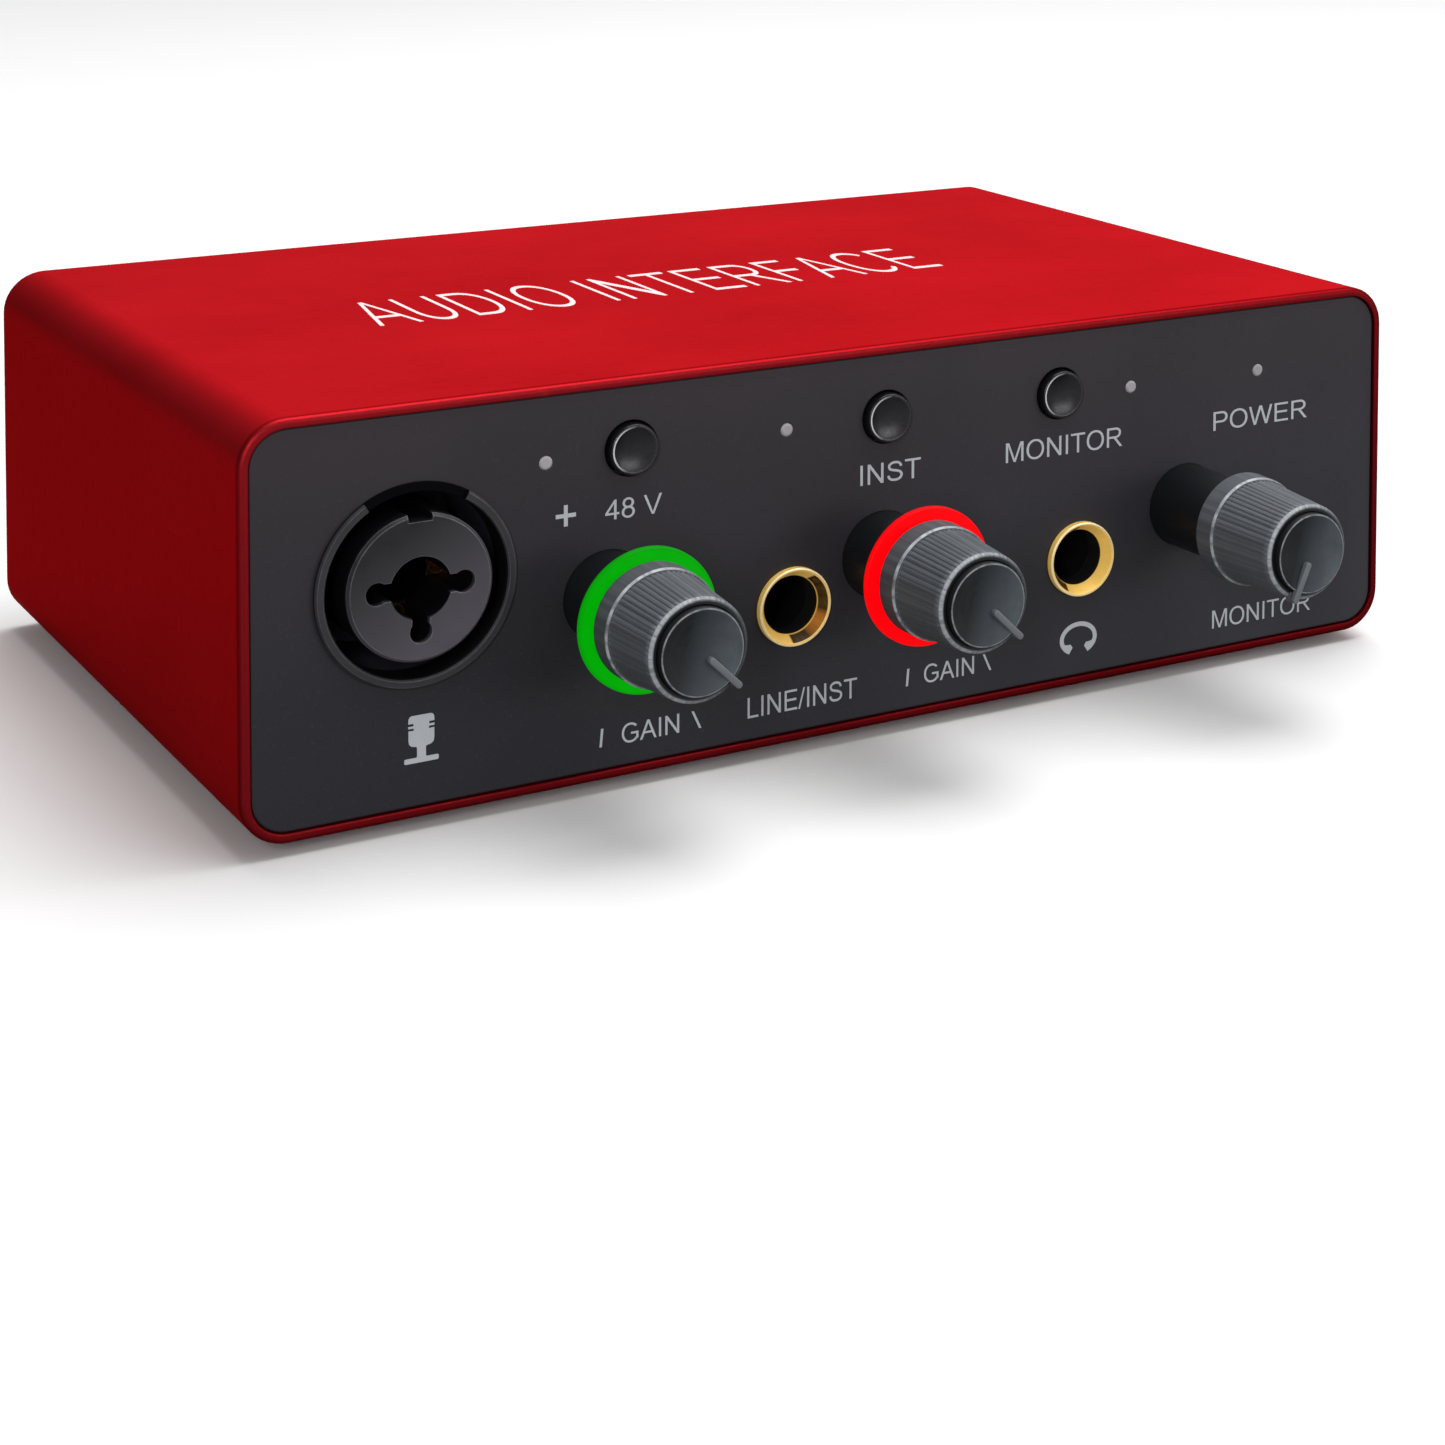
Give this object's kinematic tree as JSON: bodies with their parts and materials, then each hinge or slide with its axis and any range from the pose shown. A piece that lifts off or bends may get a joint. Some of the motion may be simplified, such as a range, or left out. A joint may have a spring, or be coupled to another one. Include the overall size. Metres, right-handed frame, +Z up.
{
  "type": "audio interface",
  "caption": "Desktop USB audio interface in a red aluminium sleeve with a dark front carrying a combo microphone socket, jack sockets, ringed gain knobs, a monitor knob and push buttons.",
  "frame": {"origin": "centre of the overall footprint on the plane the rubber feet stand on", "axes": "+X to the right as seen from the front, +Y from the controls towards the rear panel, +Z up"},
  "size_m": [0.1436, 0.1238, 0.0447],
  "materials": {
    "anodised_red": "satin anodised, bead-blasted",
    "button_black": "gloss",
    "capacitor": "sleeved can",
    "chip": "moulded epoxy",
    "coil": "ferrite",
    "collar_black": "matt",
    "combo_insert": "fine grain",
    "combo_ring": "semi-gloss",
    "contact": "gold flashed",
    "fascia": "fine satin powder paint, screen printed",
    "foot": "matt",
    "gold": "gold plated, polished",
    "guide": "clear acrylic",
    "knob_face": "satin",
    "knob_grey": "satin",
    "led": "clear resin",
    "lens": "frosted",
    "light_green": "lit translucent",
    "light_red": "lit translucent",
    "moulded_black": "matt",
    "nut": "nickel plated",
    "pcb": "solder mask",
    "pointer_grey": "satin",
    "rear_plate": "satin black paint",
    "screw_black": "black oxide",
    "steel": "zinc plated",
    "usb_metal": "nickel plated"
  },
  "bodies": {
    "chassis": {"board_header": "moulded_black", "chips": "chip", "combo_contacts": "contact", "combo_flange": "combo_ring", "combo_housing": "moulded_black", "combo_insert": "combo_insert", "control_board": "pcb", "electrolytic_capacitors": "capacitor", "front_jack_springs": "contact", "front_panel": "fascia", "front_subframe": "steel", "front_subframe_screws": "steel", "gain_left_collar": "collar_black", "gain_left_light_guide": "guide", "gain_left_light_ring": "light_green", "gain_left_pot": "steel", "gain_right_collar": "collar_black", "gain_right_light_guide": "guide", "gain_right_light_ring": "light_red", "gain_right_pot": "steel", "inst_switch": "moulded_black", "led_lenses": "lens", "line_jack_body": "moulded_black", "line_jack_ring": "gold", "main_board": "pcb", "monitor_collar": "collar_black", "monitor_pot": "steel", "monitor_switch": "moulded_black", "output_jack_nuts": "nut", "output_left_jack_body": "moulded_black", "output_right_jack_body": "moulded_black", "phantom_supply_coil": "coil", "phantom_switch": "moulded_black", "phones_jack_body": "moulded_black", "phones_jack_ring": "gold", "rear_jack_springs": "contact", "rear_panel": "rear_plate", "rear_panel_screws": "screw_black", "rubber_feet": "foot", "shell": "anodised_red", "status_leds": "led", "usb_c_shell": "usb_metal", "usb_c_tongue": "moulded_black"},
    "gain_left_control": {"gain_left_knob": "knob_grey", "gain_left_knob_face": "knob_face", "gain_left_knob_pointer": "pointer_grey", "gain_left_shaft": "steel"},
    "gain_right_control": {"gain_right_knob": "knob_grey", "gain_right_knob_face": "knob_face", "gain_right_knob_pointer": "pointer_grey", "gain_right_shaft": "steel"},
    "monitor_control": {"monitor_knob": "knob_grey", "monitor_knob_face": "knob_face", "monitor_knob_pointer": "pointer_grey", "monitor_shaft": "steel"},
    "phantom_push": {"phantom_button": "button_black"},
    "inst_push": {"inst_button": "button_black"},
    "monitor_push": {"monitor_button": "button_black"}
  },
  "joints": [
    {"name": "gain_left_turn", "type": "hinge", "parent": "chassis", "child": "gain_left_control", "pos_m": [-0.0324, -0.04595, 0.0212], "axis": [0, 1, 0], "range_deg": [-285, 15]},
    {"name": "gain_right_turn", "type": "hinge", "parent": "chassis", "child": "gain_right_control", "pos_m": [0.00085, -0.04595, 0.02075], "axis": [0, 1, 0], "range_deg": [-285, 15]},
    {"name": "monitor_turn", "type": "hinge", "parent": "chassis", "child": "monitor_control", "pos_m": [0.04225, -0.04595, 0.0207], "axis": [0, 1, 0], "range_deg": [0, 300]},
    {"name": "phantom_press", "type": "slide", "parent": "chassis", "child": "phantom_push", "axis": [0, 1, 0], "range_m": [0, 0.0012], "stiffness_N_per_m": 400},
    {"name": "inst_press", "type": "slide", "parent": "chassis", "child": "inst_push", "axis": [0, 1, 0], "range_m": [0, 0.0012], "stiffness_N_per_m": 400},
    {"name": "monitor_press", "type": "slide", "parent": "chassis", "child": "monitor_push", "axis": [0, 1, 0], "range_m": [0, 0.0012], "stiffness_N_per_m": 400}
  ]
}
